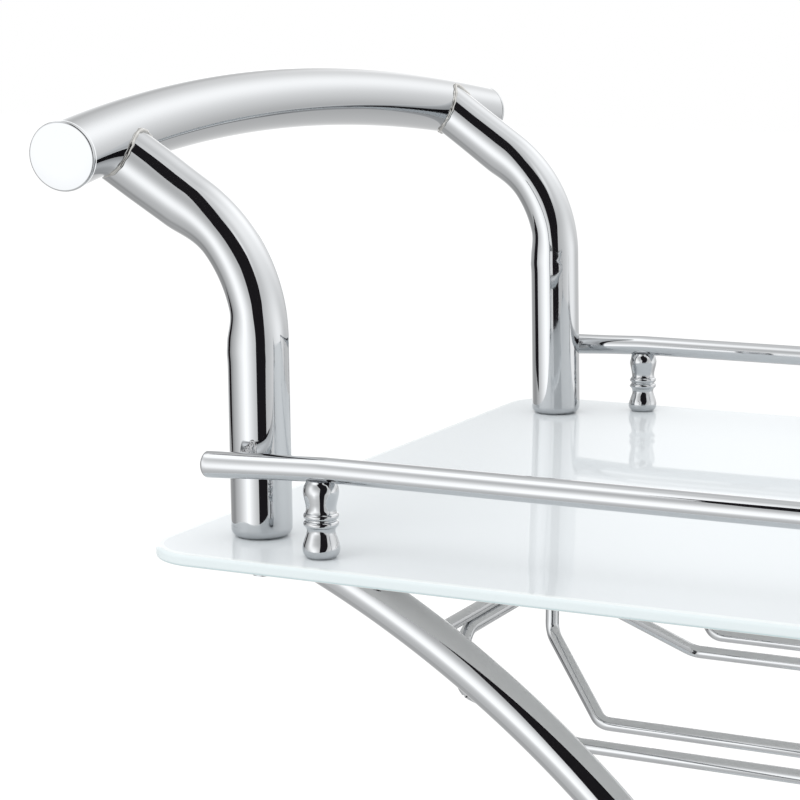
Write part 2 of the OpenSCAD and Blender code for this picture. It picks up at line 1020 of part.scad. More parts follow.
module fork(i, sy) {
  color("#b9bec2")
    at_caster(i, sy)
      difference() {
        union() {
          intersection() {
            translate([0, wheel_d, 0])
              rotate([90, 0, 0])
                linear_extrude(height = wide)
                  fork_side();
            translate([-wheel_d, 0, 0])
              rotate([90, 0, 90])
                linear_extrude(height = wide)
                  fork_end();
          }
          cylinder_between(race_d / 2 - 1, fork_top - fork_t, fork_top);
        }
        translate([0, 0, wheel_r])
          cylinder(r = king_r + run_clear, h = caster_h);
        translate([-trail, 0, wheel_r])
          rotate([90, 0, 0])
            cylinder(r = axle_r + plug_clear, h = wide, center = true);
      }
}

module axle(i, sy) {
  half = fork_in + fork_t;
  color("#d6dadc")
    at_caster(i, sy)
      translate([-trail, 0, wheel_r]) {
        rotate([90, 0, 0])
          cylinder(r = axle_r, h = 2 * half, center = true);
        for (s = [-1, 1])
          translate([0, s * half, 0])
            rotate([-90 * s, 0, 0])
              button(axle_r + axle_head_over, axle_head_h, axle_head_h * 0.7);
      }
}

// Rim, web with round holes, and boss, about the wheel's own axis
module wheel_body() {
  rim_r = wheel_r - tyre_t;
  difference() {
    rotate_extrude()
      difference() {
        union() {
          translate([0, -hub_half])
            square([axle_r + boss_wall, 2 * hub_half]);
          translate([0, -web_t / 2])
            square([rim_r, web_t]);
          translate([rim_r - rim_t, rim_in - tyre_w / 2])
            square([rim_t, tyre_w - 2 * rim_in]);
        }
        translate([0, -wheel_d])
          square([axle_r + run_clear, wide]);
      }
    for (k = [0:5])
      rotate([0, 0, 60 * k])
        translate([(axle_r + boss_wall + rim_r - rim_t) / 2, 0, -wheel_d])
          cylinder(r = web_hole_r, h = wide);
  }
}

module wheel(i, sy) {
  color("#8f9599")
    at_caster(i, sy)
      translate([-trail, 0, wheel_r])
        rotate([90, 0, 0])
          wheel_body();
}

module tyre(i, sy) {
  color("#2c2e31")
    at_caster(i, sy)
      translate([-trail, 0, wheel_r])
        rotate([90, 0, 0])
          rotate_extrude()
            union() {
              translate([wheel_r - tyre_t, -tyre_w / 2])
                square([tyre_t - tyre_edge_r, tyre_w]);
              translate([wheel_r - tyre_t, tyre_edge_r - tyre_w / 2])
                square([tyre_t, tyre_w - 2 * tyre_edge_r]);
              for (s = [-1, 1])
                translate([wheel_r - tyre_edge_r,
                  s * (tyre_w / 2 - tyre_edge_r)])
                  circle(r = tyre_edge_r);
            }
}

module fork_left_near() {
  fork(0, -1);
}

module fork_left_far() {
  fork(0, 1);
}

module fork_right_near() {
  fork(1, -1);
}

module fork_right_far() {
  fork(1, 1);
}

module axle_left_near() {
  axle(0, -1);
}

module axle_left_far() {
  axle(0, 1);
}

module axle_right_near() {
  axle(1, -1);
}

module axle_right_far() {
  axle(1, 1);
}

module wheel_left_near() {
  wheel(0, -1);
}

module wheel_left_far() {
  wheel(0, 1);
}

module wheel_right_near() {
  wheel(1, -1);
}

module wheel_right_far() {
  wheel(1, 1);
}

module tyre_left_near() {
  tyre(0, -1);
}

module tyre_left_far() {
  tyre(0, 1);
}

module tyre_right_near() {
  tyre(1, -1);
}

module tyre_right_far() {
  tyre(1, 1);
}

top_glass();
lower_glass();
grip();
grip_caps();
post_near();
post_far();
foot_plugs();
rail_near();
rail_far();
rail_spacers();
baluster_near_left();
baluster_near_mid();
baluster_near_right();
baluster_far_left();
baluster_far_mid();
baluster_far_right();
baluster_screws();
screw_washers();
leg_left_near();
leg_left_far();
leg_right_near();
leg_right_far();
upper_plates();
lower_plates();
glass_pads();
waist_tube();
waist_caps();
rack_bar_left();
rack_bar_right();
shelf_bar_left();
shelf_bar_right();
rack_loop_near();
rack_loop_far();
shelf_pads();
post_studs();
cap_bolts();
upper_nuts();
lower_nuts();
caster_stems();
fork_left_near();
fork_left_far();
fork_right_near();
fork_right_far();
axle_left_near();
axle_left_far();
axle_right_near();
axle_right_far();
wheel_left_near();
wheel_left_far();
wheel_right_near();
wheel_right_far();
tyre_left_near();
tyre_left_far();
tyre_right_near();
tyre_right_far();
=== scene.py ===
import json
import math
import bpy
import numpy as np
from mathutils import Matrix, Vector


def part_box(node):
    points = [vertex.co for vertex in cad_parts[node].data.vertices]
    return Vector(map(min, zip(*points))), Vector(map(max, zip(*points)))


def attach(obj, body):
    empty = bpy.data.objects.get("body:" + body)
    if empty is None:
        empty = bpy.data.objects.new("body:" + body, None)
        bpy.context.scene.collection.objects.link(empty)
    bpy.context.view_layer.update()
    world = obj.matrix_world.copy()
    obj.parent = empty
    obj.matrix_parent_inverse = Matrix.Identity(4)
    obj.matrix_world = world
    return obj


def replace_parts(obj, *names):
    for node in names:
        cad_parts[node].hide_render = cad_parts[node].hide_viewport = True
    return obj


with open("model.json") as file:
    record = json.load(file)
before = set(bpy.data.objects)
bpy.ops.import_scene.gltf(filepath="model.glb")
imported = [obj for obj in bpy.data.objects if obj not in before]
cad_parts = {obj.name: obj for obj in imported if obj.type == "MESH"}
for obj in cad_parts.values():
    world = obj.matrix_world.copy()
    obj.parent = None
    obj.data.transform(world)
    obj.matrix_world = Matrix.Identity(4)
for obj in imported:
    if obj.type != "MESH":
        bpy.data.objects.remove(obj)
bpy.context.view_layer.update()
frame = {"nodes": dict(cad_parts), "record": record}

nodes = frame["nodes"]
print("frame loaded, %d nodes" % len(nodes))

# places that everything else is worked out from, in metres
plugLow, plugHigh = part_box("foot_plugs")
glassLow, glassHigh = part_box("top_glass")
postX = (plugLow.x + plugHigh.x) / 2
postY = plugHigh.y - (plugHigh.x - plugLow.x) / 2
glassTop = glassHigh.z
glassUnder = glassLow.z
farX = glassHigh.x - (postX - glassLow.x) - postX  # post axis to cap bolt axis


# nodes and materials

def linear(hexCode):  # sRGB hex to linear red, green, blue and alpha 1
    values = [int(hexCode[i:i + 2], 16) / 255 for i in (0, 2, 4)]
    return [v / 12.92 if v <= 0.04045 else ((v + 0.055) / 1.055) ** 2.4 for v in values] + [1.0]


def addNode(tree, kind, inputs=None, **settings):  # one node with its settings, values and links
    node = tree.nodes.new(kind)
    for name, value in settings.items():
        setattr(node, name, value)
    for name, value in (inputs or {}).items():
        if isinstance(value, bpy.types.NodeSocket):
            tree.links.new(value, node.inputs[name])
        else:
            node.inputs[name].default_value = value
    return node


def newMaterial(name):
    material = bpy.data.materials.new(name)
    material.use_nodes = True
    material.node_tree.nodes.clear()
    return material, material.node_tree


def calculate(tree, operation, a, b=0.0, c=0.0):  # one sum on numbers or sockets
    node = addNode(tree, "ShaderNodeMath", {0: a, 1: b, 2: c}, operation=operation)
    return node.outputs[0]


def ramp(tree, value, low, high):  # 0 below low, 1 above high, smooth between
    node = addNode(tree, "ShaderNodeMapRange", {"Value": value, "From Min": low, "From Max": high},
                   interpolation_type="SMOOTHSTEP")
    return node.outputs["Result"]


def mixColour(tree, factor, a, b):  # sockets 0, 6 and 7 are the colour mix's factor and colours
    return addNode(tree, "ShaderNodeMix", {0: factor, 6: a, 7: b}, data_type="RGBA").outputs[2]


def metal(name, look):
    # plated metal: mirror reflections over slow waves of the drawn tube and fine polishing haze
    material, tree = newMaterial(name)
    place = addNode(tree, "ShaderNodeTexCoord").outputs["Object"]
    wave = addNode(tree, "ShaderNodeTexNoise", {
        "Vector": place, "Scale": 1000 / look["waveMm"], "Detail": 1.0})
    bump = addNode(tree, "ShaderNodeBump", {
        "Height": wave.outputs[0], "Distance": look["waveDepthMm"] / 1000})
    haze = addNode(tree, "ShaderNodeTexNoise", {
        "Vector": place, "Scale": 1000 / look["hazeMm"], "Detail": 2.0})
    rough = addNode(tree, "ShaderNodeMapRange", {
        "Value": haze.outputs[0], "From Min": 0.35, "From Max": 0.65,
        "To Min": look["roughness"][0], "To Max": look["roughness"][1]})
    shader = addNode(tree, "ShaderNodeBsdfPrincipled", {
        "Base Color": linear(look["colour"]), "Metallic": 1.0, "Roughness": rough.outputs[0],
        "Normal": bump.outputs[0]})
    addNode(tree, "ShaderNodeOutputMaterial", {"Surface": shader.outputs[0]})
    return material


# bright nickel-chrome on drawn tube: a near mirror, a little blue, with slow waves in long reflections
polishedTube = metal("polishedChromeTube", {
    "colour": "c6c8ca", "roughness": (0.02, 0.05), "waveMm": 26, "waveDepthMm": 0.012, "hazeMm": 9})
# the same plate on turned and pressed pieces, which are polished flatter
polishedTurned = metal("polishedChromeTurned", {
    "colour": "c6c8ca", "roughness": (0.02, 0.04), "waveMm": 12, "waveDepthMm": 0.002, "hazeMm": 6})
# bright zinc plate on pressed steel: satin, faintly blue
zincPlate = metal("brightZincPlate", {
    "colour": "c3c8cc", "roughness": (0.22, 0.34), "waveMm": 3, "waveDepthMm": 0.01, "hazeMm": 5})
# weld beads under the plate: uneven and softer than the tube, a shade warmer
weldMetal = metal("platedWeldBead", {
    "colour": "bcbbb8", "roughness": (0.08, 0.2), "waveMm": 2.2, "waveDepthMm": 0.12, "hazeMm": 1.6})
# weld lugs under the plate: ground less than the beads, so rougher in shape and darker
lugMetal = metal("platedWeldLug", {
    "colour": "a9aaac", "roughness": (0.05, 0.16), "waveMm": 1.5, "waveDepthMm": 0.16, "hazeMm": 1.6})


def grainedMaterial(name, look):  # a moulded piece: a fine grain in relief, and faint patches of dust
    material, tree = newMaterial(name)
    place = addNode(tree, "ShaderNodeTexCoord").outputs["Object"]
    grain = addNode(tree, "ShaderNodeTexNoise", {
        "Vector": place, "Scale": 1000 / look["grainMm"], "Detail": 3.0})
    bump = addNode(tree, "ShaderNodeBump", {
        "Height": grain.outputs[0], "Distance": look["grainDepthMm"] / 1000})
    dust = addNode(tree, "ShaderNodeTexNoise", {
        "Vector": place, "Scale": 1000 / look["dustMm"], "Detail": 4.0})
    colour = mixColour(tree, ramp(tree, dust.outputs[0], 0.4, 0.75),
                       linear(look["colour"]), linear(look["dusty"]))
    shader = addNode(tree, "ShaderNodeBsdfPrincipled", {
        "Base Color": colour, "Roughness": look["roughness"], "IOR": 1.5, "Normal": bump.outputs[0]})
    addNode(tree, "ShaderNodeOutputMaterial", {"Surface": shader.outputs[0]})
    return material


# vulcanised black rubber: dull, with greyer places where dust holds
blackRubber = grainedMaterial("blackRubber", {
    "colour": "232426", "dusty": "2e2f31", "roughness": 0.62,
    "grainMm": 0.8, "grainDepthMm": 0.03, "dustMm": 14})
# injection-moulded polypropylene: a soft sheen over a fine spark-eroded grain
wheelPlastic = grainedMaterial("mouldedGreyPolypropylene", {
    "colour": "9a9ea1", "dusty": "a3a7aa", "roughness": 0.42,
    "grainMm": 0.5, "grainDepthMm": 0.012, "dustMm": 20})


# toughened glass painted white underneath: milky blue-white face, a clearer margin outside the paint,
# and a pale green-blue polished rim, darkened in a line low down by painted shade; it mirrors faintly, as
# photographed
glassLook = {"face": "e6ebee", "margin": "f1f6f7", "underside": "fafaf8", "rim": "e7f0f2", "rimPaintedShade": "c3dcdf",
             "marginWide": 0.0032, "marginBlur": 0.0002,
             "lineFrom": 0.26, "lineTo": 0.06,  # heights of the painted shade line low on the rim, as shares of the thickness
             "faceUp": (0.75, 0.95), "faceDown": (-0.6, -0.9),  # the normal's rise where rim turns to face
             "roughness": 0.03, "specular": 0.045}


def glassMaterial(name, low, high, corner):
    # how far a place lies inside the outline: the distance to a rectangle whose corners are arcs, from its
    # sides where it is beside them and from the arc's centre where it is in a corner
    material, tree = newMaterial(name)
    place = addNode(tree, "ShaderNodeTexCoord").outputs["Object"]
    at = addNode(tree, "ShaderNodeSeparateXYZ", {0: place}).outputs
    beyond = []
    for k in (0, 1):
        fromMiddle = calculate(tree, "ABSOLUTE", calculate(tree, "SUBTRACT", at[k], (low[k] + high[k]) / 2))
        beyond.append(calculate(tree, "SUBTRACT", fromMiddle, (high[k] - low[k]) / 2 - corner))
    square = [calculate(tree, "POWER", calculate(tree, "MAXIMUM", b, 0.0), 2.0) for b in beyond]
    diagonal = calculate(tree, "SQRT", calculate(tree, "ADD", square[0], square[1]))
    beside = calculate(tree, "MINIMUM", calculate(tree, "MAXIMUM", beyond[0], beyond[1]), 0.0)
    outline = calculate(tree, "SUBTRACT", calculate(tree, "ADD", diagonal, beside), corner)
    wide, blur = glassLook["marginWide"], glassLook["marginBlur"]
    inMargin = ramp(tree, outline, -wide - blur, -wide + blur)
    facing = addNode(tree, "ShaderNodeNewGeometry").outputs["True Normal"]
    up = addNode(tree, "ShaderNodeSeparateXYZ", {0: facing}).outputs[2]
    thick = high[2] - low[2]
    # painted shade: the rim's colour darkens in a line low down
    paintedShadeLine = ramp(tree, at[2], low[2] + thick * glassLook["lineFrom"], low[2] + thick * glassLook["lineTo"])
    rim = mixColour(tree, paintedShadeLine, linear(glassLook["rim"]), linear(glassLook["rimPaintedShade"]))
    flat = mixColour(tree, inMargin, linear(glassLook["face"]), linear(glassLook["margin"]))
    face = mixColour(tree, ramp(tree, up, *glassLook["faceUp"]), rim, flat)
    colour = mixColour(tree, ramp(tree, up, *glassLook["faceDown"]), face, linear(glassLook["underside"]))
    shader = addNode(tree, "ShaderNodeBsdfPrincipled", {
        "Base Color": colour, "Roughness": glassLook["roughness"], "IOR": 1.5,
        "Specular IOR Level": glassLook["specular"]})
    addNode(tree, "ShaderNodeOutputMaterial", {"Surface": shader.outputs[0]})
    return material


cornerRadius = {"top_glass": 0.025, "lower_glass": 0.018}
topPaintedGlass = glassMaterial("whitePaintedTopGlass", *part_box("top_glass"), cornerRadius["top_glass"])
lowPaintedGlass = glassMaterial("whitePaintedShelfGlass", *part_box("lower_glass"), cornerRadius["lower_glass"])

finishes = {"chrome": polishedTurned, "painted_glass": topPaintedGlass, "zinc_steel": zincPlate,
            "rubber": blackRubber, "tyre": blackRubber, "wheel_hub": wheelPlastic}
for part in frame["record"]["subparts"]:
    finish = lowPaintedGlass if part["node"] == "lower_glass" else finishes[part["material_slot"]]
    for slot in nodes[part["node"]].material_slots:
        slot.material = finish
print("materials on the CAD nodes")


# making surfaces

def unit(v):
    v = np.asarray(v, float)
    return v / np.linalg.norm(v, axis=-1, keepdims=True)


def smooth(x):  # 0 to 1, smooth at both ends
    x = np.clip(x, 0, 1)
    return x * x * (3 - 2 * x)


def addPiece(name, points, faces, finish, body="frame", sharpDegrees=40):
    mesh = bpy.data.meshes.new(name)
    mesh.from_pydata(points.tolist(), [], faces)
    mesh.materials.append(finish)
    mesh.shade_smooth()
    mesh.set_sharp_from_angle(angle=math.radians(sharpDegrees))
    piece = bpy.data.objects.new(name, mesh)
    bpy.context.scene.collection.objects.link(piece)
    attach(piece, body)
    return piece


def gridFaces(rows, columns, closed):  # quads of a grid whose columns close, and whose rows may
    i = np.arange(rows if closed else rows - 1)[:, None]
    j = np.arange(columns)[None, :]
    a, b = i * columns + j, i * columns + (j + 1) % columns
    c, d = ((i + 1) % rows) * columns + (j + 1) % columns, ((i + 1) % rows) * columns + j
    return np.stack([a, b, c, d], -1).reshape(-1, 4).tolist()


def endFaces(rows, columns):  # the two faces that close the ends of a tube's grid
    return [list(range(columns))[::-1], list(range((rows - 1) * columns, rows * columns))]


def centreLine(corners, bend, closed=False, spacing=0.0008):
    # straight lengths between the corners and arcs of the bend radius at them, tangent to both
    p = np.array(corners, float)
    n = len(p)
    line = []
    for k in range(n):
        if not closed and k in (0, n - 1):
            line.append(p[k:k + 1])
            continue
        u, v = unit(p[k] - p[k - 1]), unit(p[(k + 1) % n] - p[k])
        turn = math.acos(float(np.clip(u @ v, -1, 1)))
        centre = p[k] + unit(v - u) * bend / math.cos(turn / 2)
        ex = unit(p[k] - u * bend * math.tan(turn / 2) - centre)
        angle = np.linspace(0, turn, max(4, int(bend * turn / spacing)))[:, None]
        line.append(centre + bend * (np.cos(angle) * ex + np.sin(angle) * u))
    return np.concatenate(line)


def evenSteps(line, spacing, closed=False):  # the same line with stations a spacing apart, ends kept
    if closed:
        line = np.concatenate([line, line[:1]])
    run = np.concatenate([[0], np.cumsum(np.linalg.norm(np.diff(line, axis=0), axis=1))])
    count = max(2, int(round(run[-1] / spacing)) + 1)
    at = np.linspace(0, run[-1], count)
    if closed:
        at = at[:-1]
    return np.stack([np.interp(at, run, line[:, k]) for k in range(3)], -1), at


def sweptTube(line, radius, across, sides=64, closed=False, flatIn=None, flatOut=None):
    # a circle of this radius carried along the line; flatIn and flatOut are the reach towards
    # and away from the inside of a bend, across the direction given, where they differ from it
    tangent = np.gradient(line, axis=0)
    if closed:
        tangent = np.roll(line, -1, axis=0) - np.roll(line, 1, axis=0)
    tangent = unit(tangent)
    side = unit(np.cross(tangent, np.asarray(across, float)))
    other = np.cross(tangent, side)
    radius = np.broadcast_to(np.asarray(radius, float), (len(line),))
    reachIn = radius if flatIn is None else flatIn
    reachOut = radius if flatOut is None else flatOut
    angle = np.linspace(0, 2 * np.pi, sides, endpoint=False)[None, :, None]
    middle = ((reachIn - reachOut) / 2)[:, None, None]
    half = ((reachOut + reachIn) / 2)[:, None, None]
    points = (line[:, None] + side[:, None] * (middle + half * np.cos(angle))
              + other[:, None] * radius[:, None, None] * np.sin(angle)).reshape(-1, 3)
    faces = gridFaces(len(line), sides, closed)
    if not closed:
        faces += endFaces(len(line), sides)
    return points, faces


def turned(profile, origin, axis, sides=96):
    # a profile of radius and height turned about an axis, its ends closed
    axis = unit(axis)
    ex = unit(np.cross(axis, [0.3, 0.5, 0.8]))
    ey = np.cross(axis, ex)
    angle = np.linspace(0, 2 * np.pi, sides, endpoint=False)[None, :, None]
    profile = np.asarray(profile, float)[:, :, None, None]
    ring = np.cos(angle) * ex + np.sin(angle) * ey
    points = (np.asarray(origin, float) + profile[:, 1] * axis + profile[:, 0] * ring).reshape(-1, 3)
    return points, gridFaces(len(profile), sides, False) + endFaces(len(profile), sides)


def arc(cx, cy, radius, fromDeg, toDeg, count):  # points of a profile's arc
    angle = np.radians(np.linspace(fromDeg, toDeg, count))
    return np.stack([cx + radius * np.cos(angle), cy + radius * np.sin(angle)], -1)


def joined(parts):  # several surfaces as one mesh
    points, faces, start = [], [], 0
    for p, f in parts:
        points.append(p)
        faces += [[i + start for i in face] for face in f]
        start += len(p)
    return np.concatenate(points), faces


def fromPost(x, y, z):  # a place given from the post axis, the middle plane and the glass top
    return np.array([postX + x, y, glassTop + z])


# handle: a tube bowed to a large radius in a tilted plane, its ends closed by turned caps
handle = {"radius": 0.014, "bowRadius": 1.060, "tiltDegrees": 47.4, "middleX": -0.07629, "middleZ": 0.16856,
          "halfLength": 0.2025, "capThick": 0.0024, "seam": 0.0004, "capEdge": 0.0008}


def handlePoint(angle):  # the bow's arc, angle from its middle
    back = handle["bowRadius"] * (1 - np.cos(angle))
    tilt = math.radians(handle["tiltDegrees"])
    return np.stack([postX + handle["middleX"] + back * math.cos(tilt), handle["bowRadius"] * np.sin(angle),
                     glassTop + handle["middleZ"] - back * math.sin(tilt)], -1)


handleSpan = math.asin(handle["halfLength"] / handle["bowRadius"])
line = handlePoint(np.linspace(-handleSpan, handleSpan, 400))
points, faces = sweptTube(line, handle["radius"], (0.3, 0, 1), sides=128)
handleTube = addPiece("handleTube", points, faces, polishedTube)
handleTube.visible_glossy = False  # the photographed arms show no reflection of it
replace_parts(handleTube, "grip")

capParts = []
pole = 0.0002  # a turned profile starts and ends this near its axis, and the small hole is closed flat
wide, thick, edge, seam = handle["radius"], handle["capThick"], handle["capEdge"], handle["seam"]
capProfile = np.concatenate([[[pole, 0], [wide - seam, 0], [wide - seam, seam]],
                             arc(wide - edge / 2, seam + edge / 2, edge / 2, -90, 0, 6),
                             arc(wide - edge, thick - edge, edge, 0, 90, 14), [[pole, thick]]])
for way in (-1, 1):
    end = handlePoint(np.array([way * handleSpan]))[0]
    ahead = handlePoint(np.array([way * (handleSpan - 0.001), way * handleSpan]))
    capParts.append(turned(capProfile, end, ahead[1] - ahead[0]))
points, faces = joined(capParts)
handleCaps = addPiece("handleEndCaps", points, faces, polishedTurned)
handleCaps.visible_glossy = False
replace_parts(handleCaps, "grip_caps")
print("handle made")

# posts: a tube with one bend, pulled flat in the bend and kinked a little where it starts; each one was bent
# by hand over its own former, so the two lean and turn a little differently
post = {"radius": 0.0125, "sides": 160, "foot": 0.005, "footRound": 0.0034, "bendRadius": 0.062,
        "flatOutside": 0.0002, "widen": 0.0004, "startEarly": 0.001, "easeIn": 0.015,
        "endLate": 0.005, "easeOut": 0.026, "closeAt": 0.45,  # a share of the way from the handle's axis
        "kink": 0.0003, "kinkLength": 0.003, "kinkBefore": 0.005, "flareLength": 0.03, "copeAfter": 0.010,
        "near": {"cornerX": -0.0015, "cornerZ": 0.1145, "leanDegrees": 58.5,
                 "flatInside": 0.0031, "flareEnd": 0.0004},
        "far": {"cornerX": -0.0025, "cornerZ": 0.1158, "leanDegrees": 55.0,
                "flatInside": 0.0019, "flareEnd": -0.0003}}


def postShape(side, key):
    own = post[key]
    lean = math.radians(own["leanDegrees"])
    start = fromPost(0, side * postY, post["foot"])
    corner = fromPost(own["cornerX"], side * postY, own["cornerZ"])
    arm = np.array([-math.sin(lean), 0, math.cos(lean)])
    atPost = math.asin(side * postY / handle["bowRadius"])
    middle = handlePoint(np.array([atPost - 0.001, atPost, atPost + 0.001]))
    handleWay = unit(middle[2] - middle[0])
    length = (middle[1] - corner) @ arm  # from the corner to the arm's point nearest the handle's axis
    line, run = evenSteps(centreLine([start, corner, corner + arm * length], post["bendRadius"]), 0.0009)
    rise = unit(corner - start)
    turn = math.acos(float(rise @ arm))
    tangentRun = post["bendRadius"] * math.tan(turn / 2)
    first = np.linalg.norm(corner - start) - tangentRun
    last = first + post["bendRadius"] * turn
    inBend = smooth((run - first + post["startEarly"]) / post["easeIn"])
    inBend = inBend * smooth((last + post["endLate"] - run) / post["easeOut"])
    kink = post["kink"] * np.exp(-((run - first + post["kinkBefore"]) / post["kinkLength"]) ** 2)
    flare = own["flareEnd"] * smooth((run - last) / post["flareLength"])  # a wider or narrower end
    inside = post["radius"] - own["flatInside"] * inBend + kink + flare
    outside = post["radius"] - post["flatOutside"] * inBend + flare
    wide = post["radius"] + post["widen"] * inBend
    points = sweptTube(line, wide, (0, 1, 0), sides=post["sides"], flatIn=inside, flatOut=outside)[0]
    points = points.reshape(len(line), -1, 3)

    # coped end: each line of the arm's surface runs on to where it meets the handle, or comes nearest to it,
    # which is the smaller root of a quadratic in the length along the arm
    straight = run > last + post["copeAfter"]
    ring = points[-1] - line[-1]
    across = arm - (arm @ handleWay) * handleWay
    offset = corner + ring - middle[1]
    offset = offset - (offset @ handleWay)[:, None] * handleWay
    qa, qb, qc = across @ across, 2 * (offset @ across), (offset * offset).sum(1) - handle["radius"] ** 2
    reach = (-qb - np.sqrt(np.maximum(qb ** 2 - 4 * qa * qc, 0))) / (2 * qa)
    begin = line[straight][0]
    share = ((run[straight] - run[straight][0]) / (run[-1] - run[straight][0]))[:, None, None]
    stretch = (reach - (begin - corner) @ arm)[None, :, None] * arm
    points[straight] = begin + (points[straight] - line[straight][:, None]) + share * stretch
    seam = points[-1].copy()
    inner = middle[1] + post["closeAt"] * (seam - middle[1])  # the end closes inside the handle
    points = np.concatenate([points, inner[None]])
    rows, sides = points.shape[:2]
    return points.reshape(-1, 3), gridFaces(rows, sides, False) + endFaces(rows, sides), seam, arm, rise


bead = {"size": 0.0011, "lumps": 17, "fewerLumps": 7, "share": 0.6, "unevenness": 0.22}
wide, low = post["radius"], post["footRound"]
footProfile = np.concatenate([[[pole, 0.0001]], arc(wide - low, low + 0.0001, low, -90, 0, 24),
                              [[wide, post["foot"]], [pole, post["foot"]]]])
plugParts = []
for side, key in ((-1, "near"), (1, "far")):
    points, faces, seam, arm, rise = postShape(side, key)
    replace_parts(addPiece("post" + key.title(), points, faces, polishedTube), "post_" + key)

    # weld round the arm's end: an uneven bead along the line where the two tubes meet
    angle = np.linspace(0, 2 * np.pi, len(seam), endpoint=False)
    lumps = bead["share"] * np.sin(bead["lumps"] * angle + side)
    lumps = lumps + (1 - bead["share"]) * np.sin(bead["fewerLumps"] * angle + 2 * side)
    size = bead["size"] * (1 + bead["unevenness"] * lumps)
    points, faces = sweptTube(seam, size, arm, sides=16, closed=True)
    addPiece("handleWeld" + key.title(), points, faces, weldMetal)
    plugParts.append(turned(footProfile, fromPost(0, side * postY, 0), rise, sides=128))
points, faces = joined(plugParts)
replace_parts(addPiece("postFeet", points, faces, polishedTube), "foot_plugs")
print("posts made")

# gallery rails: round bars, straight between the end balusters, ends bent down a little and rounded
rail = {"radius": 0.005, "y": 0.184, "z": 0.0348, "over": 0.012, "balusterIn": 0.0396, "downDegrees": 2.3,
        "flare": 0.00045, "flareLength": 0.036, "bendRadius": 0.120, "nose": 0.0016}
endZ = rail["z"] - (rail["balusterIn"] + rail["over"]) * math.tan(math.radians(rail["downDegrees"]))
railStations = [(-rail["over"], endZ), (rail["balusterIn"], rail["z"]),
                (farX - rail["balusterIn"], rail["z"]), (farX + rail["over"], endZ)]
for side, key in ((-1, "near"), (1, "far")):
    corners = [fromPost(x, side * rail["y"], z) for x, z in railStations]
    line, run = evenSteps(centreLine(corners, rail["bendRadius"]), 0.0015)
    nose = rail["nose"]
    extra = nose * (1 - np.cos(np.linspace(0, np.pi / 2, 10)[1:-1]))  # closer stations in the rounded ends
    at = np.unique(np.concatenate([run, extra, run[-1] - extra]))
    line = np.stack([np.interp(at, run, line[:, k]) for k in range(3)], -1)
    inward = np.minimum(at, at[-1] - at)
    radius = rail["radius"] - nose + np.sqrt(np.maximum(nose ** 2 - np.maximum(nose - inward, 0) ** 2, 0))
    radius = radius + rail["flare"] * (1 - smooth(inward / rail["flareLength"]))  # thicker cut ends
    points, faces = sweptTube(line, radius, (0, 1, 0), sides=96)
    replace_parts(addPiece("rail" + key.title(), points, faces, polishedTube), "rail_" + key)

# welded lugs between the rails and the posts: rough upright beads
lug = {"x": 0.0026, "halfWide": 0.0012, "highAtRail": 0.0378, "low": 0.0300, "high": 0.0417,
       "from": 0.1712, "to": 0.1806, "lumps": 0.00022, "rings": 26, "sides": 40,
       "spreadAtPost": 0.35, "spreadAtRail": 0.2, "spreadLength": 0.2,  # the length as a share of the bead's
       "squareAcross": 0.8, "squareUpright": 0.6, "uprightUneven": 0.14}  # powers below 1 square a circle
parts = []
for side in (-1, 1):
    # a rounded-square section from post to rail, which two waves make uneven and both ends spread
    angle = np.linspace(0, 2 * np.pi, lug["sides"], endpoint=False)[None, :]
    depth = np.linspace(0, 1, lug["rings"])[:, None]
    waves = np.sin(3 * angle + 19 * depth) + 0.7 * np.sin(5 * angle - 31 * depth + side)
    uneven = 1 + lug["lumps"] / lug["halfWide"] * waves
    spread = (1 + lug["spreadAtPost"] * np.exp(-(depth / lug["spreadLength"]) ** 2)
              + lug["spreadAtRail"] * np.exp(-((1 - depth) / lug["spreadLength"]) ** 2))
    top = lug["high"] + (lug["highAtRail"] - lug["high"]) * depth  # it falls from the post to the rail
    middleZ = (lug["low"] + top) / 2
    across = np.sign(np.cos(angle)) * np.abs(np.cos(angle)) ** lug["squareAcross"]
    upright = np.sign(np.sin(angle)) * np.abs(np.sin(angle)) ** lug["squareUpright"]
    x = lug["x"] + lug["halfWide"] * spread * uneven * across
    share = lug["uprightUneven"]
    z = middleZ + (top - middleZ) * (1 - share + share * spread * uneven) * upright
    y = side * (lug["from"] + (lug["to"] - lug["from"]) * depth) + 0 * angle
    points = np.stack([postX + x, y, glassTop + z], -1)
    points = points[::-1] if side > 0 else points  # so that the faces point outwards on both sides
    parts.append((points.reshape(-1, 3),
                  gridFaces(lug["rings"], lug["sides"], False) + endFaces(lug["rings"], lug["sides"])))
points, faces = joined(parts)
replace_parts(addPiece("railLugWelds", points, faces, lugMetal), "rail_spacers")

# balusters: turned, with two bulbs that taper to necks beside a pair of rings; radius and height in mm
baluster = {"lower": [(5.2, 0.0), (6.3, 0.7), (7.15, 2.0), (7.4, 3.6), (7.15, 5.4),
                      (6.55, 7.3), (5.95, 9.0), (5.6, 10.3), (5.65, 11.3), (6.0, 12.2)],
            "upper": [(6.2, 18.1), (6.0, 18.8), (5.95, 19.7), (6.1, 21.1), (6.5, 22.9),
                      (6.9, 24.8), (7.05, 26.4), (6.75, 28.1), (6.1, 29.6), (5.3, 30.6)],
            "rings": (13.6, 16.7), "ringMiddle": 5.6, "ringHalf": 1.38}


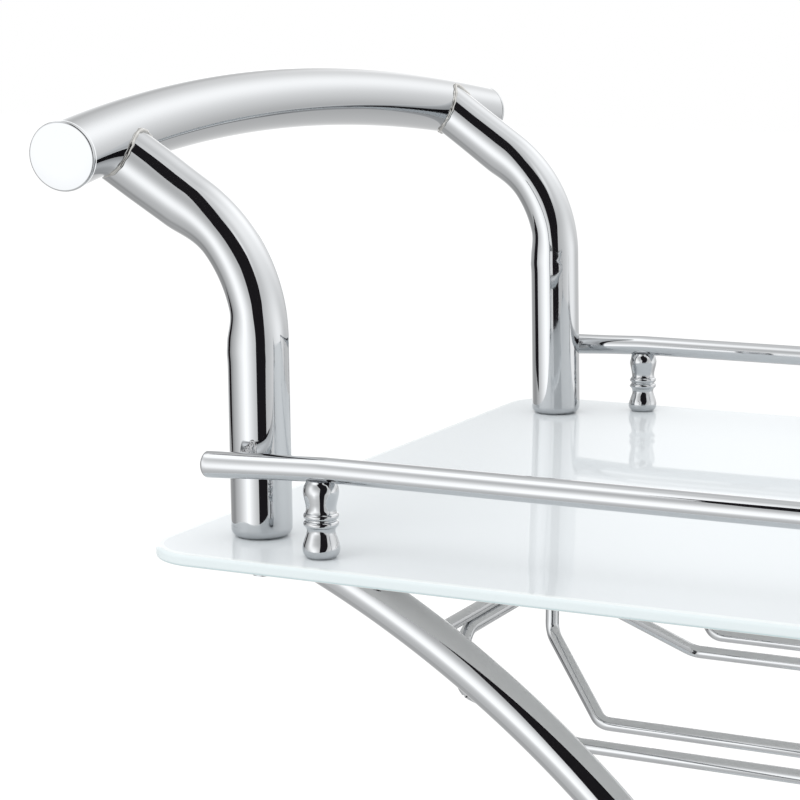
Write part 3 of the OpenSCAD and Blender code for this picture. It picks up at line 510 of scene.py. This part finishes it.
def smoothCurve(points, between=8):  # Catmull-Rom curve through the points
    p = np.array(points, float)
    p = np.concatenate([2 * p[:1] - p[1:2], p, 2 * p[-1:] - p[-2:-1]])
    t = np.linspace(0, 1, between, endpoint=False)[None, :, None]
    a, b, c, d = p[:-3, None], p[1:-2, None], p[2:-1, None], p[3:, None]
    bend = (2 * a - 5 * b + 4 * c - d) * t ** 2 + (3 * b - 3 * c + d - a) * t ** 3
    curve = 0.5 * (2 * b + (c - a) * t + bend)
    return np.concatenate([curve.reshape(-1, 2), p[-2:-1]])


ringArcs = [arc(baluster["ringMiddle"], z, baluster["ringHalf"], -68, 68, 18) for z in baluster["rings"]]
profile = np.concatenate([[[0.2, 0]], smoothCurve(baluster["lower"]), *ringArcs,
                          smoothCurve(baluster["upper"]), [[0.2, baluster["upper"][-1][1]]]]) / 1000
for side, key in ((-1, "near"), (1, "far")):
    for x, place in ((rail["balusterIn"], "left"), (farX / 2, "mid"), (farX - rail["balusterIn"], "right")):
        points, faces = turned(profile, fromPost(x, side * rail["y"], 0), (0, 0, 1))
        piece = addPiece("baluster" + key.title() + place.title(), points, faces, polishedTurned)
        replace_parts(piece, "baluster_%s_%s" % (key, place))
print("rails and balusters made")

# legs: two long bends and a tighter one at the waist, cut level on the mounting plates
leg = {"radius": 0.00875, "longBend": 0.455, "waistBend": 0.150, "startDegrees": 23.65, "startX": 0.02045,
       "casterTop": 0.060, "plate": 0.004, "pad": 0.001, "sides": 96,
       "beyond": 0.12}  # radians by which the bend runs past the plates before it is cut
startAngle = math.radians(leg["startDegrees"])
halfHeight = (glassUnder - leg["casterTop"]) / 2
middleZ = leg["casterTop"] + halfHeight
longX = leg["startX"] - leg["longBend"] * math.sin(startAngle)
longZ = glassUnder - leg["longBend"] * math.cos(startAngle)
centreRise = leg["longBend"] * math.cos(startAngle) - halfHeight  # from the long bend's centre to the waist
split = math.acos(centreRise / (leg["longBend"] - leg["waistBend"]))  # where the two bends meet
waistX = longX + (leg["longBend"] - leg["waistBend"]) * math.sin(split)


def legLine():  # half the leg as arcs in the plane of the side frame, then mirrored below the waist
    longArc = np.linspace(math.pi / 2 - startAngle + leg["beyond"], math.pi / 2 - split, 300)
    waistArc = np.linspace(math.pi / 2 - split, 0, 60)[1:]
    x = np.concatenate([longX + leg["longBend"] * np.cos(longArc),
                        waistX + leg["waistBend"] * np.cos(waistArc)])
    z = np.concatenate([longZ + leg["longBend"] * np.sin(longArc),
                        middleZ + leg["waistBend"] * np.sin(waistArc)])
    return np.concatenate([x, x[::-1][1:]]), np.concatenate([z, (2 * middleZ - z)[::-1][1:]])


def cutBetween(points, sides, low, high):
    # each line along a falling tube is followed only from one level to the other, so both ends are flat
    grid = points.reshape(-1, sides, 3)
    rows = np.arange(len(grid))
    half = len(rows) // 2
    for j in range(sides):
        way = grid[:, j].copy()
        first = np.interp(-high, -way[:half, 2], rows[:half])
        last = np.interp(-low, -way[half:, 2], rows[half:])
        at = np.linspace(first, last, len(rows))
        grid[:, j] = np.stack([np.interp(at, rows, way[:, k]) for k in range(3)], -1)
    return grid.reshape(-1, 3)


legX, legZ = legLine()
for end in ("left", "right"):
    for side, key in ((-1, "near"), (1, "far")):
        x = postX + (legX if end == "left" else farX - legX)
        line = np.stack([x, np.full_like(x, side * postY), legZ], -1)
        points, faces = sweptTube(line, leg["radius"], (0, 1, 0), sides=leg["sides"])
        points = cutBetween(points, leg["sides"], leg["casterTop"] + leg["plate"],
                            glassUnder - leg["pad"] - leg["plate"])
        piece = addPiece("leg" + end.title() + key.title(), points, faces, polishedTube)
        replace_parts(piece, "leg_%s_%s" % (end, key))

# cross bars: straight lengths between the side frames
bars = {"rack": (0.003, "rack_bar_"), "shelf": (0.005, "shelf_bar_")}
for kind, (radius, node) in bars.items():
    for end in ("left", "right"):
        low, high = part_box(node + end)
        y = np.linspace(-postY, postY, 60)
        line = np.stack([np.full_like(y, (low.x + high.x) / 2), y, np.full_like(y, (low.z + high.z) / 2)], -1)
        points, faces = sweptTube(line, radius, (0, 0, 1), sides=48)
        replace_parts(addPiece(kind + "Bar" + end.title(), points, faces, polishedTube), node + end)

# stemware rack: closed wire loops with a gate at each end, flares and a pair of slot wires
rack = {"radius": 0.003, "bend": 0.008, "y": 0.0785, "barIn": 0.075, "gateHalf": 0.0488, "slotHalf": 0.0162,
        "gateDepth": 0.064, "slotDepth": 0.092, "flare": 0.036, "weldGap": 0.0001}
barLow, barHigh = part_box("rack_bar_left")
loopTop = (barLow.z + barHigh.z) / 2 - 2 * rack["radius"] - rack["weldGap"] - glassTop
for side, key in ((-1, "near"), (1, "far")):
    y = side * rack["y"]
    near, far = rack["barIn"], farX - rack["barIn"]
    corners = []
    for x, way, edge in ((near, 1, 1), (far, -1, 1), (far, -1, -1), (near, 1, -1)):
        gateY = y + edge * rack["gateHalf"]
        three = [fromPost(x, gateY, loopTop), fromPost(x, gateY, -rack["gateDepth"]),
                 fromPost(x + way * rack["flare"], y + edge * rack["slotHalf"], -rack["slotDepth"])]
        corners += three if (x == near) == (edge > 0) else three[::-1]
    line = evenSteps(centreLine(corners, rack["bend"], closed=True), 0.0012, closed=True)[0]
    points, faces = sweptTube(line, rack["radius"], (0.55, 0.45, -0.7), sides=40, closed=True)
    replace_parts(addPiece("rackLoop" + key.title(), points, faces, polishedTube), "rack_loop_" + key)
print("legs, bars and rack made")

# floor: matt pale paper, lifted to white by a little light of its own that only the camera sees
floorLook = {"halfSize": 15.0, "colour": "e6e6e6", "ownLight": 0.25}
material, tree = newMaterial("mattPaleBackdropPaper")
path = addNode(tree, "ShaderNodeLightPath")
diffuse = addNode(tree, "ShaderNodeBsdfDiffuse", {"Color": linear(floorLook["colour"])})
seen = calculate(tree, "MULTIPLY", path.outputs["Is Camera Ray"], floorLook["ownLight"])
glow = addNode(tree, "ShaderNodeEmission", {"Strength": seen})
both = addNode(tree, "ShaderNodeAddShader", {0: diffuse.outputs[0], 1: glow.outputs[0]})
addNode(tree, "ShaderNodeOutputMaterial", {"Surface": both.outputs[0]})


def addStage(name, corners, faces, finish, **seen):  # floor or studio panel, with what it is hidden from
    mesh = bpy.data.meshes.new(name)
    mesh.from_pydata(corners, [], faces)
    mesh.materials.append(finish)
    thing = bpy.data.objects.new(name, mesh)
    bpy.context.scene.collection.objects.link(thing)
    for setting, value in seen.items():
        setattr(thing, setting, value)


half = floorLook["halfSize"]
corners = [(-half, -half, 0), (half, -half, 0), (half, half, 0), (-half, half, 0)]
addStage("floor", corners, [(0, 1, 2, 3)], material, visible_glossy=False)

# studio: soft boxes, shaded places and pale walls for the metal to reflect, by the direction looked in;
# each is azimuth and elevation of its middle, reach to both sides and up and down, all in degrees, and the
# display grey that it adds or takes away there, falling off as a bell curve does; azimuth -90 is the
# viewer's side of the cart and 180 its handle end
studio = {"dark": "242225", "least": 92, "wall": 164, "floor": 176, "horizon": (-40, -12), "gain": 1.74}
softBoxes = {
    "front": (-110, -5, 35, 25, 85),
    "frontLow": (-110, -20, 10, 10, 30),
    "highLeft": (-165, 60, 60, 15, 120),
    "left": (-140, 20, 20, 20, 60),
    "right": (50, -5, 65, 20, 80),
    "highRight": (25, 50, 35, 40, 65),
    "smallRight": (-20, 40, 10, 15, 45),
    "ceiling": (-35, 90, 35, 35, 40),
    "backLeft": (130, 5, 30, 15, 130),
    "backHigh": (75, 25, 30, 40, 95)}
shades = {
    "back": (90, 0, 20, 25, -70),
    "backRight": (60, -5, 25, 25, -95),
    "backLeft": (155, 10, 20, 55, -50),
    "backSeam": (115, 10, 5, 15, -70),
    "lowLeft": (180, -25, 10, 25, -30)}

world = bpy.data.worlds.new("studio")
bpy.context.scene.world = world
world.use_nodes = True
tree = world.node_tree
tree.nodes.clear()
path = addNode(tree, "ShaderNodeLightPath")
way = addNode(tree, "ShaderNodeSeparateXYZ", {0: addNode(tree, "ShaderNodeTexCoord").outputs["Generated"]})
perRadian = 180 / math.pi
azimuth = calculate(tree, "MULTIPLY", calculate(tree, "ARCTAN2", way.outputs[1], way.outputs[0]), perRadian)
elevation = calculate(tree, "MULTIPLY", calculate(tree, "ARCSINE", way.outputs[2]), perRadian)


def fallOff(apart, reach):  # the exponent of a bell curve: the distance over the reach, squared
    share = calculate(tree, "ABSOLUTE", calculate(tree, "DIVIDE", apart, reach))
    return calculate(tree, "POWER", share, 2.0)


grey = calculate(tree, "MULTIPLY_ADD", ramp(tree, elevation, *studio["horizon"]),
                 studio["wall"] - studio["floor"], studio["floor"])
for az, el, wide, tall, extra in list(softBoxes.values()) + list(shades.values()):
    aside = calculate(tree, "WRAP", calculate(tree, "SUBTRACT", azimuth, az), 180.0, -180.0)
    above = calculate(tree, "SUBTRACT", elevation, el)
    both = calculate(tree, "ADD", fallOff(aside, wide), fallOff(above, tall))
    bell = calculate(tree, "EXPONENT", calculate(tree, "MULTIPLY", both, -1.0))
    grey = calculate(tree, "MULTIPLY_ADD", bell, extra, grey)
grey = calculate(tree, "MINIMUM", calculate(tree, "MAXIMUM", grey, studio["least"]), 255.0)
light = calculate(tree, "MULTIPLY_ADD", grey, 1 / 255 / 1.055, 0.055 / 1.055)  # display grey to light
light = calculate(tree, "MULTIPLY", calculate(tree, "POWER", light, 2.4), studio["gain"])
glossy = addNode(tree, "ShaderNodeBackground", {"Color": (1, 1, 1, 1), "Strength": light})
# white for the camera, and an even light of strength 1 for all but reflections
plain = addNode(tree, "ShaderNodeBackground", {"Color": (1, 1, 1, 1), "Strength": 1.0})
choose = addNode(tree, "ShaderNodeMixShader", {
    0: path.outputs["Is Glossy Ray"], 1: plain.outputs[0], 2: glossy.outputs[0]})
addNode(tree, "ShaderNodeOutputWorld", {"Surface": choose.outputs[0]})

# dark cards, which only the metal sees: the unlit gap between the soft boxes, and one at the left
material, tree = newMaterial("darkStudioCard")
addNode(tree, "ShaderNodeOutputMaterial", {"Surface": addNode(tree, "ShaderNodeEmission", {
    "Color": linear(studio["dark"]), "Strength": 1.0}).outputs[0]})
onlyInMetal = {"visible_camera": False, "visible_diffuse": False, "visible_transmission": False,
               "visible_shadow": False, "visible_volume_scatter": False}
gap = {"y": -0.62,
       "left": [(0.16, -0.9), (0.17, -0.1), (0.18, 0.04), (0.20, 0.14), (0.20, 0.28), (0.12, 0.35),
                (0.04, 0.41), (-0.01, 0.49), (-0.03, 0.6), (-0.06, 0.7), (-0.13, 0.8), (-0.10, 0.95),
                (-0.04, 1.2), (0.02, 1.7), (0.12, 3.2)],
       "right": [(0.5, 3.2), (0.52, 1.8), (0.62, 1.35), (0.95, 1.3), (1.4, 1.2), (1.35, 0.65), (1.1, 0.32),
                 (0.84, 0.09), (0.62, -0.06), (0.56, -0.2), (0.5, -0.9)]}
corners = [tuple(fromPost(x, gap["y"], z)) for x, z in gap["left"] + gap["right"]]
addStage("gapBetweenSoftBoxes", corners, [tuple(range(len(corners)))], material, **onlyInMetal)
card = {"ends": [(-0.88, 0.16), (-0.68, -0.135)], "low": -0.12, "high": 0.2}
corners = [tuple(fromPost(*place, card["low"])) for place in card["ends"]]
corners += [tuple(fromPost(*place, card["high"])) for place in card["ends"][::-1]]
addStage("sideCard", corners, [(0, 1, 2, 3)], material, **onlyInMetal)
print("studio made")

# camera: fitted to the photograph, placed from the near post's axis and the glass top
viewpoint = {"fromPost": (0.45136, -0.97352), "aboveGlass": 0.21386, "forward": (-0.42553, 0.88920, -0.16807),
             "focalMm": 105.438, "sensorMm": 36.0}
camera = bpy.data.objects.new("camera", bpy.data.cameras.new("camera"))
bpy.context.scene.collection.objects.link(camera)
camera.location = tuple(fromPost(*viewpoint["fromPost"], viewpoint["aboveGlass"]))
camera.rotation_euler = Vector(viewpoint["forward"]).to_track_quat("-Z", "Y").to_euler()
camera.data.lens = viewpoint["focalMm"]
camera.data.sensor_width = viewpoint["sensorMm"]
bpy.context.scene.camera = camera
bpy.context.scene.view_settings.view_transform = "Standard"

# one large soft lamp above the front left, which reflections leave out
lampLook = {"watts": 10, "size": 1.5, "place": (-1.0, -1.5, 2.6), "aim": (0, 0, 0.5)}
softLight = bpy.data.lights.new("softLamp", "AREA")
softLight.energy = lampLook["watts"]
softLight.size = lampLook["size"]
softLamp = bpy.data.objects.new("softLamp", softLight)
softLamp.location = lampLook["place"]
softLamp.rotation_euler = (Vector(lampLook["aim"]) - softLamp.location).to_track_quat("-Z", "Y").to_euler()
softLamp.visible_glossy = False
bpy.context.scene.collection.objects.link(softLamp)
print("camera and lamp made")
